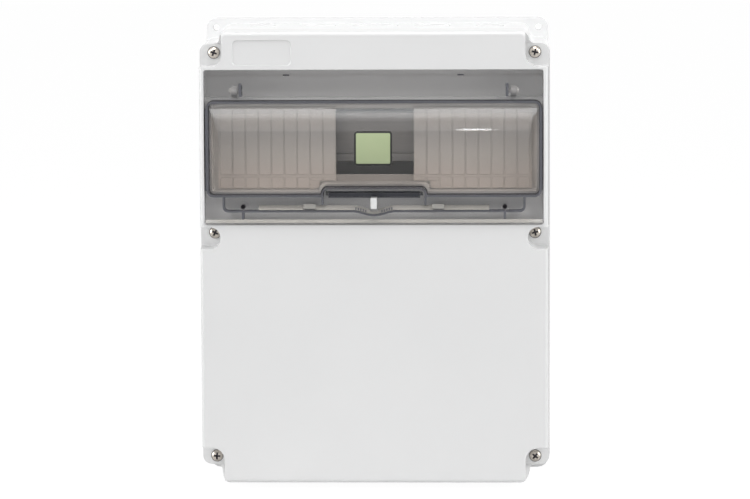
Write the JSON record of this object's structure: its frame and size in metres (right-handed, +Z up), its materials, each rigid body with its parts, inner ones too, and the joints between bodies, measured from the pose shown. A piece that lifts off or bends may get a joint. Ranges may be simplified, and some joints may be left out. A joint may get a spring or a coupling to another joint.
{
  "type": "dc combiner box",
  "caption": "Wall-mounted plastic solar string box: base with knock-outs, screwed cover, smoked flip-up window over a device opening, rail and terminal bars inside.",
  "frame": {"origin": "centre of the back face, on the wall", "axes": "+Z up, +Y into the wall, +X to the right of someone facing the box"},
  "size_m": [0.243, 0.111, 0.3218],
  "materials": {
    "case_plastic": "moulded white",
    "smoked_pane": "clear smoked polycarbonate",
    "filler_plastic": "moulded off-white",
    "gasket_rubber": "soft black",
    "screw_nickel": "nickel plated",
    "rail_zinc": "zinc plated",
    "bar_brass": "bare brass",
    "support_plastic": "moulded dark grey"
  },
  "bodies": {
    "box": {"bar_support_left": "support_plastic", "bar_support_right": "support_plastic", "base_box": "case_plastic", "blanking_plate_left": "filler_plastic", "blanking_plate_right": "filler_plastic", "cover_gasket": "gasket_rubber", "cover_screw_bottom_left": "screw_nickel", "cover_screw_bottom_right": "screw_nickel", "cover_screw_middle_left": "screw_nickel", "cover_screw_middle_right": "screw_nickel", "cover_screw_top_left": "screw_nickel", "cover_screw_top_right": "screw_nickel", "din_rail": "rail_zinc", "earth_bar": "bar_brass", "earth_bar_screw_left": "rail_zinc", "earth_bar_screw_right": "rail_zinc", "earth_terminal_1": "rail_zinc", "earth_terminal_2": "rail_zinc", "earth_terminal_3": "rail_zinc", "earth_terminal_4": "rail_zinc", "earth_terminal_5": "rail_zinc", "front_cover": "case_plastic", "hinge_pin_left": "filler_plastic", "hinge_pin_right": "filler_plastic", "negative_bar": "bar_brass", "negative_bar_screw_left": "rail_zinc", "negative_bar_screw_right": "rail_zinc", "negative_terminal_1": "rail_zinc", "negative_terminal_2": "rail_zinc", "negative_terminal_3": "rail_zinc", "negative_terminal_4": "rail_zinc", "negative_terminal_5": "rail_zinc", "positive_bar": "bar_brass", "positive_bar_screw_left": "rail_zinc", "positive_bar_screw_right": "rail_zinc", "positive_terminal_1": "rail_zinc", "positive_terminal_2": "rail_zinc", "positive_terminal_3": "rail_zinc", "positive_terminal_4": "rail_zinc", "positive_terminal_5": "rail_zinc", "rail_screw_left": "rail_zinc", "rail_screw_right": "rail_zinc", "window_gasket": "gasket_rubber"},
    "window": {"window_cover": "smoked_pane"}
  },
  "joints": [
    {"name": "window_hinge", "type": "hinge", "parent": "box", "child": "window", "pos_m": [0, -0.09, 0.1155], "axis": [-1, 0, 0], "range_deg": [0, 100]}
  ]
}
